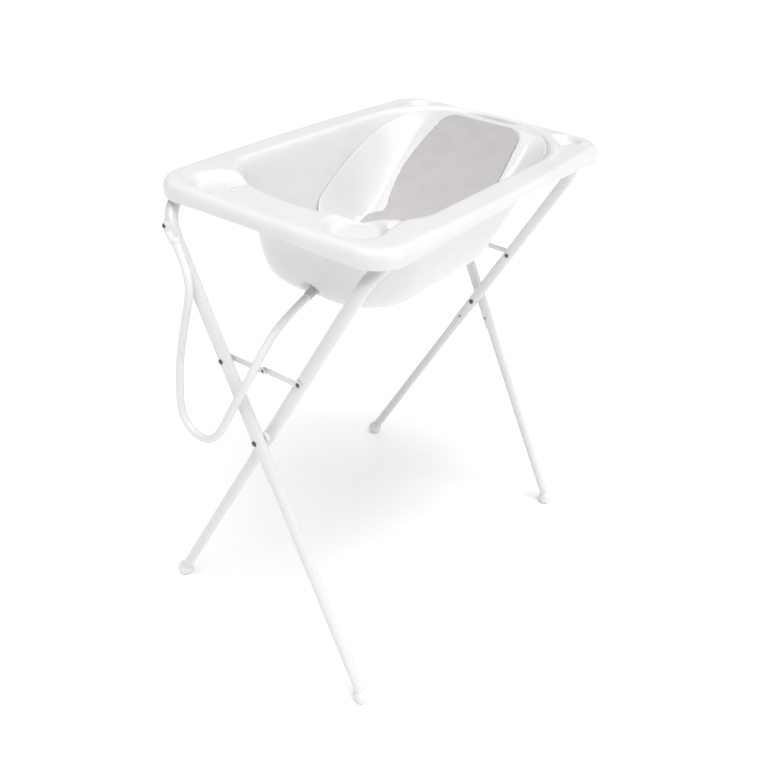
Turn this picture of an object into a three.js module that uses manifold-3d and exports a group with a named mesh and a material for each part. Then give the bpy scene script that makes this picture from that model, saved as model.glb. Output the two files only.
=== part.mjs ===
// Baby bath on a folding stand: a white tub with soap dishes, a reclined bath
// support with a grey pad, a drain with its hose, and two crossed leg frames
// joined at a pivot and held open by two folding braces. Units: millimetres, +Z up.
// +X is the head end, -Y the near long side; the origin is on the floor, midway.
import * as THREE from 'three';
import { mergeVertices } from 'three/addons/utils/BufferGeometryUtils.js';
import Module from 'manifold-3d';

const wasm = await Module();
wasm.setup();

// ---- driving dimensions -------------------------------------------------
const GAP = 0.3;                  // clearance between pieces that touch
const RIM_TOP = 1000;             // height of the tub's rim
const PIVOT_Z = 539;              // height of the leg pivots
const LEG_TILT = THREE.MathUtils.degToRad(28);
const OUTER_X = 420;              // leg planes of the outer frame
const INNER_X = 385;              // leg planes of the inner frame
const UPPER_R = 12.7;             // upper tube, 25.4 mm outside
const LOWER_R = 11;               // lower tube, 22 mm outside
const TUBE_WALL = 1.4;
const BAR_Z = 964;                // height of the top bars under the rim
const BEND_R = 64;                // bend of the upper tubes, on the centre line
const FOOT_R = 17.5;              // ball feet
const FOOT_Z = 16.4;              // centre height, so that each ball has a flat
const SOCKET_DEPTH = 14;          // how far a lower tube goes into its ball foot
const TUBE_JOINT = 86;            // lower end of the upper tube, below the pivot
const TUBE_OVERLAP = 46;          // how far the lower tube goes up inside it
const SCREW_BELOW = 59;           // joint screw, below the pivot
const BRACE_ABOVE = 171;          // brace rivets, above the pivot along the legs
const BRACE_HEIGHT = 12;
const BRACE_THICK = 2.5;
const BRACE_OFFSET = 1.4;         // from the middle of the leg gap to a half link
const PIN_R = 4;                  // pivot rivets
const BRACE_PIN_R = 3;            // brace rivets
const SCREW_R = 2.4;              // joint screws
const TUB_WALL = 3;
const HOSE_R = 8;

const alongLeg = (z) => (z - PIVOT_Z) / Math.cos(LEG_TILT);
const BAR_S = alongLeg(BAR_Z);
const FOOT_S = alongLeg(FOOT_Z);
const GAP_MIDDLE_X = (OUTER_X - UPPER_R + INNER_X + UPPER_R) / 2;
const SIDES = { near: -1, far: 1 };   // near is the foot end, far the head end

// ---- materials ------------------------------------------------------------
const finish = (color, roughness, metalness = 0) => () =>
  new THREE.MeshStandardMaterial({ color, roughness, metalness });
const whitePlastic = finish(0xf1f0ee, 0.35);
const whitePaint = finish(0xf3f2f1, 0.3);
const greyPad = finish(0xc7c6c5, 0.85);
const darkSteel = finish(0x3a3a3c, 0.45, 0.8);
const greyPlastic = finish(0x6d6b69, 0.5);
const blackRubber = finish(0x2b2b2b, 0.8);
const hosePlastic = finish(0xeeeeec, 0.4);

// ---- solids ---------------------------------------------------------------
// Merges a geometry's vertices, drops collapsed triangles and faces it outward.
function closed(geometry) {
  const bare = geometry.clone();
  for (const name of Object.keys(bare.attributes)) {
    if (name !== 'position') bare.deleteAttribute(name);
  }
  const merged = mergeVertices(bare, 1e-4);
  const position = merged.attributes.position;
  const triangles = [];
  let volume = 0;
  const [a, b, c] = [new THREE.Vector3(), new THREE.Vector3(), new THREE.Vector3()];
  for (let i = 0; i < merged.index.count; i += 3) {
    const tri = [0, 1, 2].map((k) => merged.index.getX(i + k));
    if (new Set(tri).size < 3) continue;
    [a, b, c].forEach((point, k) => point.fromBufferAttribute(position, tri[k]));
    volume += a.dot(b.cross(c));
    triangles.push(tri);
  }
  const facing = volume < 0 ? triangles.map(([i, j, k]) => [i, k, j]) : triangles;
  merged.setIndex(facing.flat());
  return merged;
}

function toManifold(geometry) {
  const body = closed(geometry);
  return new wasm.Manifold(new wasm.Mesh({
    numProp: 3,
    vertProperties: new Float32Array(body.attributes.position.array),
    triVerts: new Uint32Array(body.index.array),
  }));
}

function fromManifold(solid) {
  const mesh = solid.getMesh();
  const geometry = new THREE.BufferGeometry();
  geometry.setAttribute('position', new THREE.BufferAttribute(new Float32Array(mesh.vertProperties), 3));
  geometry.setIndex(new THREE.BufferAttribute(new Uint32Array(mesh.triVerts), 1));
  geometry.computeVertexNormals();
  return geometry;
}

// A geometry with others joined to it, and then others cut out of it.
function shaped(base, { join = [], cut = [] }) {
  let solid = toManifold(base);
  for (const piece of join) solid = solid.add(toManifold(piece));
  for (const piece of cut) solid = solid.subtract(toManifold(piece));
  return fromManifold(solid);
}

// A cylinder between two points.
function rod(from, to, radius, sides = 12, endRadius = radius) {
  const axis = new THREE.Vector3().subVectors(to, from);
  const geometry = new THREE.CylinderGeometry(endRadius, radius, axis.length(), sides);
  const turn = new THREE.Quaternion().setFromUnitVectors(
    new THREE.Vector3(0, 1, 0), axis.clone().normalize());
  geometry.applyQuaternion(turn);
  const middle = new THREE.Vector3().addVectors(from, to).multiplyScalar(0.5);
  return geometry.translate(middle.x, middle.y, middle.z);
}

const rodX = (x0, x1, y, z, radius, sides = 12) =>
  rod(new THREE.Vector3(x0, y, z), new THREE.Vector3(x1, y, z), radius, sides);

// A lathed profile of [radius, distance] pairs, turned from +Y to an axis.
function turned(profile, from, direction, sides = 20) {
  const points = profile.map(([radius, distance]) => new THREE.Vector2(radius, distance));
  const geometry = new THREE.LatheGeometry(points, sides);
  geometry.applyQuaternion(new THREE.Quaternion().setFromUnitVectors(
    new THREE.Vector3(0, 1, 0), direction));
  return closed(geometry.translate(from.x, from.y, from.z));
}

// ---- tubes ----------------------------------------------------------------
// A path through points, each used as it stands: straight runs and arcs alike.
class PointPath extends THREE.Curve {
  constructor(points) {
    super();
    this.points = points;
  }

  getPoint(t, target = new THREE.Vector3()) {
    const last = this.points.length - 1;
    const place = Math.min(t * last, last);
    const index = Math.min(Math.floor(place), last - 1);
    return target.lerpVectors(this.points[index], this.points[index + 1], place - index);
  }

  getPointAt(t, target) {
    return this.getPoint(t, target);
  }

  getSpacedPoints() {
    return this.points;
  }

  getTangentAt(t, target = new THREE.Vector3()) {
    const last = this.points.length - 1;
    const index = Math.round(t * last);
    const step = (i) => new THREE.Vector3().subVectors(this.points[i + 1], this.points[i]).normalize();
    const before = step(Math.max(index - 1, 0));
    const after = step(Math.min(index, last - 1));
    return target.addVectors(before, after).normalize();
  }
}

function tube(points, radius, wall = 0, sides = 12) {
  const section = new THREE.Shape();
  section.absarc(0, 0, radius, 0, Math.PI * 2);
  if (wall > 0) {
    const bore = new THREE.Path();
    bore.absarc(0, 0, radius - wall, 0, Math.PI * 2, true);
    section.holes.push(bore);
  }
  return new THREE.ExtrudeGeometry(section, {
    steps: points.length - 1,
    curveSegments: sides / 2,
    extrudePath: new PointPath(points),
  });
}

// An arc in the leg plane, from one angle to another about a centre.
function arc(centreX, centreS, radius, from, to, steps) {
  return Array.from({ length: steps + 1 }, (_, i) => {
    const angle = from + (to - from) * i / steps;
    return new THREE.Vector3(centreX + radius * Math.cos(angle), 0, centreS + radius * Math.sin(angle));
  });
}

const BEND_STEPS = 6;

// ---- stand ----------------------------------------------------------------
const model = new THREE.Group();
const outerFrame = new THREE.Group();
const innerFrame = new THREE.Group();
outerFrame.position.z = PIVOT_Z;
outerFrame.rotation.x = -LEG_TILT;
innerFrame.position.z = PIVOT_Z;
innerFrame.rotation.x = LEG_TILT;
model.add(outerFrame, innerFrame);

function add(group, name, geometry, material) {
  const mesh = new THREE.Mesh(geometry, material());
  mesh.name = name;
  group.add(mesh);
  return mesh;
}

// In a leg frame's own space Z runs up the legs and the pivot axis is X.
function buildFrame(group, label, legX) {
  const bendS = BAR_S - BEND_R;
  const path = [
    new THREE.Vector3(-legX, 0, -TUBE_JOINT),
    ...arc(-legX + BEND_R, bendS, BEND_R, Math.PI, Math.PI / 2, BEND_STEPS),
    ...arc(legX - BEND_R, bendS, BEND_R, Math.PI / 2, 0, BEND_STEPS),
    new THREE.Vector3(legX, 0, -TUBE_JOINT),
  ];
  const drills = [];
  for (const side of Object.values(SIDES)) {
    const across = (s, radius) => rodX(side * legX - 20, side * legX + 20, 0, s, radius);
    drills.push(across(0, PIN_R + GAP), across(BRACE_ABOVE, BRACE_PIN_R + GAP));
    drills.push(rodX(side * legX, side * (legX - 20), 0, -SCREW_BELOW, SCREW_R + GAP, 8));
  }
  add(group, `${label}_upper_frame`, shaped(tube(path, UPPER_R, TUBE_WALL), { cut: drills }), whitePaint);

  for (const [end, side] of Object.entries(SIDES)) {
    const x = side * legX;
    buildLowerLeg(group, `${end}_${label}`, x, side);
    buildJointScrew(group, `${end}_${label}`, x, side);
  }
}

function buildLowerLeg(group, label, x, side) {
  const bottom = FOOT_S + FOOT_R - SOCKET_DEPTH + GAP;
  const top = -TUBE_JOINT + TUBE_OVERLAP;
  const points = [new THREE.Vector3(x, 0, bottom), new THREE.Vector3(x, 0, top)];
  const drill = rodX(x, x - side * 20, 0, -SCREW_BELOW, SCREW_R + GAP, 8);
  add(group, `${label}_lower_leg`, shaped(tube(points, LOWER_R, TUBE_WALL), { cut: [drill] }), whitePaint);

  const ball = new THREE.SphereGeometry(FOOT_R, 16, 10).rotateX(Math.PI / 2).translate(x, 0, FOOT_S);
  const socket = rod(new THREE.Vector3(x, 0, bottom - GAP), new THREE.Vector3(x, 0, FOOT_S + 2 * FOOT_R),
    LOWER_R + GAP, 12);
  // A slab under the floor, brought into the tilted leg frame, leaves each ball its flat.
  group.updateMatrixWorld();
  const centre = group.localToWorld(new THREE.Vector3(x, 0, FOOT_S));
  const floor = new THREE.BoxGeometry(60, 60, 20).translate(centre.x, centre.y, -10);
  floor.applyMatrix4(group.matrixWorld.clone().invert());
  add(group, `${label}_foot`, shaped(ball, { cut: [socket, floor] }), whitePlastic);
}

// A domed screw on the inward face, through the walls of both tubes.
function buildJointScrew(group, label, x, side) {
  const face = UPPER_R + GAP;
  const tip = LOWER_R - TUBE_WALL - 3;
  const profile = [[0, tip], [SCREW_R, tip], [SCREW_R, face], [4.4, face], [3.8, face + 1.6], [0, face + 2.2]];
  const centre = new THREE.Vector3(x, 0, -SCREW_BELOW);
  add(group, `${label}_joint_screw`, turned(profile, centre, new THREE.Vector3(-side, 0, 0), 10), darkSteel);
}

buildFrame(outerFrame, 'outer', OUTER_X);
buildFrame(innerFrame, 'inner', INNER_X);

// Pivot rivets through both legs, with a spacer disc between the legs.
for (const [end, side] of Object.entries(SIDES)) {
  const outward = new THREE.Vector3(side, 0, 0);
  const start = new THREE.Vector3(side * (INNER_X - UPPER_R - GAP), 0, 0);
  const through = OUTER_X - INNER_X + 2 * (UPPER_R + GAP);
  const rivet = [[0, -2.5], [5.5, -1.6], [6, 0], [PIN_R, 0], [PIN_R, through], [5.6, through],
    [5, through + 2], [0, through + 2.8]];
  add(outerFrame, `${end}_pivot_rivet`, turned(rivet, start, outward, 12), darkSteel);
  const gapWidth = OUTER_X - INNER_X - 2 * UPPER_R;
  const spacer = [[PIN_R + GAP, GAP], [10.5, GAP], [10.5, gapWidth - GAP], [PIN_R + GAP, gapWidth - GAP],
    [PIN_R + GAP, GAP]];
  const spacerStart = new THREE.Vector3(side * (INNER_X + UPPER_R), 0, 0);
  add(outerFrame, `${end}_pivot_spacer`, turned(spacer, spacerStart, outward, 16), whitePlastic);
}

// ---- braces ---------------------------------------------------------------
const BRACE_Y = BRACE_ABOVE * Math.sin(LEG_TILT);
const BRACE_Z = PIVOT_Z + BRACE_ABOVE * Math.cos(LEG_TILT);

// A flat bar with round ends from a leg rivet (at y) to the middle of the stand.
function halfLink(y, innerFace, holeRadii) {
  const half = BRACE_HEIGHT / 2;
  const reach = Math.abs(y);
  const outline = new THREE.Shape();
  outline.absarc(0, 0, half, Math.PI / 2, Math.PI * 1.5);
  outline.absarc(reach, 0, half, -Math.PI / 2, Math.PI / 2);
  outline.closePath();
  [[0, holeRadii.middle], [reach, holeRadii.leg]].forEach(([at, radius]) => {
    if (!radius) return;
    const hole = new THREE.Path();
    hole.absarc(at, 0, radius, 0, Math.PI * 2, true);
    outline.holes.push(hole);
  });
  const geometry = new THREE.ExtrudeGeometry(outline, {
    depth: BRACE_THICK, bevelEnabled: false, curveSegments: 6,
  });
  // The shape's x axis becomes +Y or -Y, its y axis Z and its depth X.
  const basis = new THREE.Matrix4().makeBasis(
    new THREE.Vector3(0, Math.sign(y), 0), new THREE.Vector3(0, 0, 1),
    new THREE.Vector3(Math.sign(y), 0, 0));
  geometry.applyMatrix4(basis);
  geometry.computeBoundingBox();
  return geometry.translate(innerFace - geometry.boundingBox.min.x, 0, BRACE_Z);
}

for (const [end, side] of Object.entries(SIDES)) {
  const middle = side * GAP_MIDDLE_X;
  const pinHole = BRACE_PIN_R + GAP;
  const towardOuter = middle + side * BRACE_OFFSET;
  const towardInner = middle - side * (BRACE_OFFSET + BRACE_THICK);
  const outerLow = Math.min(towardOuter, towardOuter + side * BRACE_THICK);
  const innerLow = Math.min(towardInner, towardInner + side * BRACE_THICK);
  add(model, `${end}_outer_brace_link`,
    halfLink(BRACE_Y, outerLow, { middle: pinHole, leg: pinHole }), whitePaint);
  add(model, `${end}_inner_brace_link`,
    halfLink(-BRACE_Y, innerLow, { middle: 0, leg: pinHole }), whitePaint);

  const outward = new THREE.Vector3(side, 0, 0);
  const leg = UPPER_R + GAP;
  const outerTail = middle + side * 0.2;
  const outerLength = Math.abs(side * (OUTER_X + leg) - outerTail);
  const outerRivet = [[0, 0], [4.5, 0], [4.5, 0.9], [BRACE_PIN_R, 0.9], [BRACE_PIN_R, outerLength],
    [5.2, outerLength], [4.6, outerLength + 1.8], [0, outerLength + 2.5]];
  add(model, `${end}_outer_brace_rivet`,
    turned(outerRivet, new THREE.Vector3(outerTail, BRACE_Y, BRACE_Z), outward, 12), darkSteel);

  const innerTail = middle - side * 0.2;
  const innerLength = Math.abs(side * (INNER_X - leg) - innerTail);
  const innerRivet = [[0, 0], [4.5, 0], [4.5, 0.9], [BRACE_PIN_R, 0.9], [BRACE_PIN_R, innerLength],
    [5.2, innerLength], [4.6, innerLength + 1.8], [0, innerLength + 2.5]];
  add(model, `${end}_inner_brace_rivet`,
    turned(innerRivet, new THREE.Vector3(innerTail, -BRACE_Y, BRACE_Z), outward.clone().negate(), 12), darkSteel);

  const neckStart = middle - side * (BRACE_OFFSET - GAP);
  const neckEnd = towardOuter + side * (BRACE_THICK + GAP);
  add(model, `${end}_brace_centre_rivet`,
    rodX(neckStart, neckEnd, 0, BRACE_Z, BRACE_PIN_R), darkSteel);
}

// ---- tub ------------------------------------------------------------------
// Outlines of the tub at each level. A level is a rounded plan: its foot and head
// ends in X, its half width, and the X and Y radii of its foot and head corners.
const level = (z, foot, head, half, footR, headR) => ({ z, foot, head, half, footR, headR });
const BASIN = [
  level(785, -225, 120, 108, [90, 90], [100, 100]),
  level(793, -252, 165, 138, [95, 100], [120, 125]),
  level(808, -272, 203, 155, [100, 110], [140, 140]),
  level(835, -284, 235, 165, [105, 120], [150, 150]),
  level(905, -299, 306, 182, [115, 150], [165, 172]),
  level(975, -317, 372, 201, [128, 185], [190, 195]),
  level(990, -325, 377, 207, [133, 200], [190, 190]),
  level(998, -336, 381, 213, [138, 208], [188, 183]),
];
const OUTLINE = { end: 412.7, half: 259.3, corner: 58, endBow: 12, sideBow: 14.8 };
const HEAD_RISE = 8;              // the basin's lip is higher around the head end
const SKIRT_Z = 966;              // lower edge of the skirt at the corners
const SIDE_ARCH = 16.5;           // how much higher it is at mid length
const END_ARCH = 6.5;

const offsetLevel = (base, by, z) => ({
  z,
  foot: base.foot - by,
  head: base.head + by,
  half: base.half + by,
  footR: base.footR.map((r) => r + by),
  headR: base.headR.map((r) => r + by),
});

// The rim's outer outline, drawn in by an inset.
const rimLevel = (z, inset, options = {}) => ({
  z,
  foot: -OUTLINE.end + inset,
  head: OUTLINE.end - inset,
  half: OUTLINE.half - inset,
  footR: [OUTLINE.corner - inset * 0.8, OUTLINE.corner - inset * 0.8],
  headR: [OUTLINE.corner - inset * 0.8, OUTLINE.corner - inset * 0.8],
  bow: true,
  ...options,
});

const SHORT_STEPS = 2;
const CORNER_STEPS = 8;
const LONG_STEPS = 4;
const QUADRANT = SHORT_STEPS + CORNER_STEPS + LONG_STEPS;
const MIDDLE_X = -20;

// Point number k of a quarter outline, from the middle of an end to the middle of a side.
function quarterPoint(k, end, half, [rx, ry]) {
  const toward = Math.sign(end - MIDDLE_X);
  const cornerX = end - toward * rx;
  if (k <= SHORT_STEPS) return [end, (half - ry) * k / SHORT_STEPS];
  if (k <= SHORT_STEPS + CORNER_STEPS) {
    const angle = (k - SHORT_STEPS) / CORNER_STEPS * Math.PI / 2;
    return [cornerX + toward * rx * Math.cos(angle), half - ry + ry * Math.sin(angle)];
  }
  const t = (k - SHORT_STEPS - CORNER_STEPS) / LONG_STEPS;
  return [cornerX + (MIDDLE_X - cornerX) * t, half];
}

function outlinePoint(index, plan) {
  const quadrant = Math.floor(index / QUADRANT) % 4;
  const k = index % QUADRANT;
  const head = quadrant === 0 || quadrant === 3;
  const step = quadrant % 2 === 0 ? k : QUADRANT - k;
  const [x, y] = head
    ? quarterPoint(step, plan.head, plan.half, plan.headR)
    : quarterPoint(step, plan.foot, plan.half, plan.footR);
  return [x, quadrant < 2 ? y : -y];
}

const smooth = (low, high, value) => THREE.MathUtils.smoothstep(value, low, high);

function tubPoint(index, plan) {
  let [x, y] = outlinePoint(index, plan);
  let z = plan.z;
  const alongX = x / OUTLINE.end;
  const alongY = y / OUTLINE.half;
  if (plan.bow) {
    x += Math.sign(x) * OUTLINE.endBow * Math.max(0, 1 - alongY ** 2) * smooth(300, OUTLINE.end - 20, Math.abs(x));
    y += Math.sign(y) * OUTLINE.sideBow * Math.max(0, 1 - alongX ** 2) * smooth(200, OUTLINE.half - 20, Math.abs(y));
  }
  if (plan.arch) {
    const corner = OUTLINE.corner;
    const onSide = Math.abs(y) > OUTLINE.half - corner;
    const onEnd = Math.abs(x) > OUTLINE.end - corner;
    if (onSide) z += SIDE_ARCH * Math.max(0, 1 - (x / (OUTLINE.end - corner)) ** 2);
    if (onEnd) z += END_ARCH * Math.max(0, 1 - (y / (OUTLINE.half - corner)) ** 2);
  }
  if (plan.rise) {
    z += HEAD_RISE * smooth(180, 375, x);
  }
  return new THREE.Vector3(x, y, z);
}

// The basin's levels from the rim down, a distance outside its inner surface.
const levelsOutside = (by) => BASIN.slice(0, -1).reverse().map((plan, i) => ({
  ...offsetLevel(plan, by, i < 4 ? plan.z : plan.z - by * (i - 3) / 3),
  rise: i === 0,
}));

// The tub's section, from the floor inside, over the rim and back to the floor outside.
function tubLevels() {
  const lip = BASIN[BASIN.length - 1];
  const inside = BASIN.map((plan, i) => ({ ...plan, rise: i > 5 }));
  const rim = [
    { ...offsetLevel(lip, 7, RIM_TOP), rise: true },
    rimLevel(RIM_TOP, 17),
    rimLevel(995, 6),
    rimLevel(984, 0),
    rimLevel(SKIRT_Z, 1.5, { arch: true }),
    rimLevel(SKIRT_Z, 1.5 + TUB_WALL, { arch: true }),
    rimLevel(990, TUB_WALL + 3),
    rimLevel(RIM_TOP - TUB_WALL, 19),
    { ...offsetLevel(lip, 8, RIM_TOP - TUB_WALL), rise: true },
  ];
  return [...inside, ...rim, ...levelsOutside(TUB_WALL)];
}

// A lathed sheet with one row for each level and a pole at each end of the section.
function tubSkin(levels, firstPole, lastPole) {
  const around = QUADRANT * 4;
  const rows = [new THREE.Vector2(0, 0), ...levels.map((_, i) => new THREE.Vector2(1, i)),
    new THREE.Vector2(0, levels.length)];
  const geometry = new THREE.LatheGeometry(rows, around);
  const { position, uv } = geometry.attributes;
  for (let i = 0; i < position.count; i += 1) {
    const row = Math.round(uv.getY(i) * (rows.length - 1));
    const index = Math.round(uv.getX(i) * around) % around;
    const pole = row === 0 || row === rows.length - 1;
    const point = pole
      ? new THREE.Vector3(-40, 0, row === 0 ? firstPole : lastPole)
      : tubPoint(index, levels[row - 1]);
    position.setXYZ(i, point.x, point.y, point.z);
  }
  return geometry;
}

// Soap dishes in the corners: a cup under the rim, its recess and its drain slot.
const DISH_DEPTH = 13;
const DISH_SIDES = 20;
const DISHES = [
  { x: -346, y: -150, radius: 52, slot: -60 },
  { x: -346, y: 152, radius: 52, slot: -68 },
  { x: 362, y: -184, radius: 36, slot: -110 },
  { x: 362, y: 184, radius: 36, slot: 110 },
];

function dishTools() {
  const join = [];
  const cut = [];
  for (const dish of DISHES) {
    const up = (z) => new THREE.Vector3(dish.x, dish.y, z);
    join.push(rod(up(RIM_TOP - DISH_DEPTH - TUB_WALL), up(RIM_TOP - 0.6), dish.radius, DISH_SIDES,
      dish.radius + 3));
    cut.push(rod(up(RIM_TOP - DISH_DEPTH), up(RIM_TOP + 20), dish.radius - 5, DISH_SIDES,
      dish.radius + 2));
    const angle = THREE.MathUtils.degToRad(dish.slot);
    const slot = new THREE.BoxGeometry(7, 3, 12).rotateZ(angle + Math.PI / 2);
    const reach = dish.radius - 8;
    cut.push(slot.translate(dish.x + reach * Math.cos(angle), dish.y + reach * Math.sin(angle),
      RIM_TOP - DISH_DEPTH - 2));
  }
  return { join, cut };
}

// Ribs under the rim, notched to sit on the stand's top bars.
const RIB = { from: 214, width: 38, height: 33 };

function saddleTools() {
  const barY = BAR_S * Math.sin(LEG_TILT);
  const join = [];
  const cut = [];
  for (const side of [-1, 1]) {
    for (const x of [-150, 0, 150]) {
      join.push(new THREE.BoxGeometry(4, RIB.width, RIB.height).translate(
        x, side * (RIB.from + RIB.width / 2), RIM_TOP - TUB_WALL + 0.5 - RIB.height / 2));
    }
    cut.push(rodX(-160, 160, side * barY, BAR_Z - 0.5, UPPER_R + 1.3, 16));
  }
  return { join, cut };
}

// ---- drain ----------------------------------------------------------------
// The outlet sits in a round recess at the foot of the end wall. The recess has its
// own wall behind it, which ends inside the basin's wall.
const DRAIN_AT = new THREE.Vector3(-260, -6, 811);
const DRAIN_AXIS = new THREE.Vector3(-Math.cos(THREE.MathUtils.degToRad(20)), 0,
  -Math.sin(THREE.MathUtils.degToRad(20)));
const RECESS = { radius: 19, wall: 3.5, half: 4, reach: 45 };
const BORE_R = 9.3;

function buildTub() {
  const dishes = dishTools();
  const saddles = saddleTools();
  const alongDrain = (distance) => DRAIN_AT.clone().addScaledVector(DRAIN_AXIS, distance);
  const basinVolume = tubSkin(levelsOutside(TUB_WALL / 2), BASIN[6].z, BASIN[0].z - TUB_WALL / 2);
  const backing = rod(alongDrain(-RECESS.half), alongDrain(RECESS.reach),
    RECESS.radius + RECESS.wall, 24);
  const around = rod(alongDrain(-2 * RECESS.half), alongDrain(RECESS.reach + 5), RECESS.radius + 8, 24);
  const beyondBasin = shaped(around, { cut: [basinVolume] });
  const recess = rod(alongDrain(RECESS.half), alongDrain(RECESS.reach + 5), RECESS.radius, 24);
  const bore = rod(alongDrain(-30), alongDrain(30), BORE_R, 20);
  add(model, 'tub_shell', shaped(tubSkin(tubLevels(), BASIN[0].z, BASIN[0].z - TUB_WALL), {
    join: [...dishes.join, ...saddles.join, shaped(backing, { cut: [beyondBasin] })],
    cut: [...dishes.cut, ...saddles.cut, bore, recess],
  }), whitePlastic);

  const at = (name, profile, material, sides = 20) =>
    add(model, name, turned(profile, DRAIN_AT, DRAIN_AXIS, sides), material);
  const inner = -RECESS.half - GAP;
  const outer = RECESS.half + GAP;
  at('drain_strainer', [[6, inner - 2], [16, inner - 2], [17, inner], [BORE_R - GAP, inner],
    [BORE_R - GAP, outer - GAP], [6, outer - GAP], [6, inner - 2]], greyPlastic);
  at('drain_gasket', [[8, outer], [12.5, outer], [12.5, outer + 2], [8, outer + 2], [8, outer]], blackRubber);
  const flange = outer + 2 + GAP;
  at('drain_spigot', [[5.5, flange], [12.5, flange], [12.5, flange + 3], [9.6, flange + 4], [9, flange + 22],
    [5.5, flange + 22], [5.5, flange]], greyPlastic);
  at('drain_plug', [[0, inner - 6], [3, inner - 12], [6, inner - 11], [5, inner - 5.5], [12, inner - 4.6],
    [12, inner - 2 - GAP], [5.7, inner - 2 - GAP], [5.2, inner + 6], [0, inner + 6]], blackRubber);
  return alongDrain(flange + 22 + GAP);
}

const hoseExit = buildTub();

// ---- hose -----------------------------------------------------------------
// From the spigot out between the legs, down in a loop and up beside the outer leg.
const HOSE_ROUTE = [
  [-308, -6, 793.8], [-334, -7, 785], [-363, -10, 776], [-392, -13, 763], [-416, -14, 745], [-434, -11, 721],
  [-446, -2, 690], [-453, 13, 655], [-455, 29, 622], [-455, 46, 588], [-454.5, 62, 558],
  [-454, 80, 532.2], [-453.4, 98.6, 515.8], [-452.6, 124, 509.5], [-451.6, 149.4, 515.8],
  [-450.8, 168.8, 533.3], [-450.2, 177.7, 557.9], [-450, 178, 590], [-450, 176, 625],
  [-450, 172, 660], [-450, 165, 697], [-450, 156, 736], [-449, 146.5, 775], [-447.4, 139.6, 810],
  [-445, 141, 842], [-440.5, 156.5, 872], [-438.4, 168.4, 894], [-438.3, 172.9, 902.5],
].map(([x, y, z]) => new THREE.Vector3(x, y, z));
const HOSE_STEPS = 56;
const hoseCurve = new THREE.CatmullRomCurve3([hoseExit, ...HOSE_ROUTE], false, 'centripetal');
const hosePoints = hoseCurve.getSpacedPoints(HOSE_STEPS);
add(model, 'drain_hose', tube(hosePoints, HOSE_R, 0, 8), hosePlastic);

// A cap on the hose's upper end, and the clip that holds it beside the leg.
const hoseEnd = hosePoints[HOSE_STEPS];
const hoseEndAxis = new THREE.Vector3().subVectors(hoseEnd, hosePoints[HOSE_STEPS - 1]).normalize();
const CAP_PROFILE = [[0, GAP], [8.3, GAP], [8.3, 7], [7.4, 9.4], [0, 10]];
add(model, 'hose_end_cap', turned(CAP_PROFILE, hoseEnd, hoseEndAxis, 16), whitePlastic);

// The clip's plate lies on the leg and its cradle, lower down, goes round the hose's end.
const PLATE_S = [alongLeg(902), alongLeg(931)];
const CRADLE_S = [alongLeg(893), alongLeg(914)];
const CLIP_RIVET_S = alongLeg(925);

function hoseClip() {
  const inner = UPPER_R + GAP;
  const outer = inner + 2.4;
  const hook = { x: -18.3, y: -17.8, inner: HOSE_R + 0.8, outer: HOSE_R + 3 };
  const plate = new THREE.Shape();
  const deg = THREE.MathUtils.degToRad;
  plate.absarc(0, 0, outer, deg(140), deg(225), false);
  plate.absarc(0, 0, inner, deg(225), deg(140), true);
  plate.closePath();
  const cradle = new THREE.Shape();
  cradle.absarc(hook.x, hook.y, hook.outer, deg(20), deg(185), false);
  cradle.absarc(hook.x, hook.y, hook.inner, deg(185), deg(20), true);
  cradle.closePath();
  const solid = (shape, [from, to]) => new THREE.ExtrudeGeometry(shape, {
    depth: to - from, bevelEnabled: false, curveSegments: 8,
  }).translate(-OUTER_X, 0, from);
  const drill = rodX(-OUTER_X - 20, -OUTER_X, 0, CLIP_RIVET_S, 2.3, 8);
  return shaped(solid(plate, PLATE_S), { join: [solid(cradle, CRADLE_S)], cut: [drill] });
}

add(outerFrame, 'hose_clip', hoseClip(), whitePlastic);
const clipFace = UPPER_R + 3 * GAP + 2.4;
const clipShank = UPPER_R - 1.6;  // the leg has begun its bend at the rivet
const CLIP_RIVET = [[0, clipShank], [2, clipShank], [2, clipFace], [4.6, clipFace],
  [4, clipFace + 1.6], [0, clipFace + 2.2]];
add(outerFrame, 'hose_clip_rivet', turned(CLIP_RIVET, new THREE.Vector3(-OUTER_X, 0, CLIP_RIVET_S),
  new THREE.Vector3(-1, 0, 0), 12), darkSteel);

// ---- bath support -----------------------------------------------------------
// The back rest is a plane reclined at 34 degrees; its edges climb the tub's walls.
function along(table, x) {
  let i = 1;
  while (i < table.length - 1 && table[i][0] < x) i += 1;
  const [x0, y0] = table[i - 1];
  const [x1, y1] = table[i];
  return y0 + (y1 - y0) * THREE.MathUtils.clamp((x - x0) / (x1 - x0), 0, 1);
}

const SUPPORT = { foot: -60, head: 372, thick: 4 };
const PAD = { foot: 12, head: 328, thick: 8 };
const PAD_UNDER = 1.2;            // clear of the facets of the surface it lies on
const RECLINE = 0.68;             // rise over run of the back rest
const BACK_TOP = [328, 999];
const SEAT_Z = 793;
const HALF_WIDTH = [[-60, 136], [-56, 151], [-48, 163], [-36, 169], [-15, 173], [8, 176], [40, 180],
  [67, 183], [96, 186], [128, 189], [160, 191], [193, 193], [218, 192], [245, 188], [270, 181],
  [294, 167], [312, 154], [325, 143], [345, 119], [358, 97], [366, 78], [372, 56]];
const EDGE_Z = [[-60, 832], [-56, 846], [-48, 860], [-36, 877], [-15, 890], [8, 903], [40, 918],
  [67, 931], [96, 942], [128, 952], [160, 962], [193, 970], [218, 977], [245, 985], [270, 991],
  [294, 996], [325, 1000], [345, 1002], [372, 1003]];
const FLAT_HALF = [[-60, 100], [-10, 124], [74, 125], [110, 119], [220, 128], [290, 124], [345, 92], [372, 50]];
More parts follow.
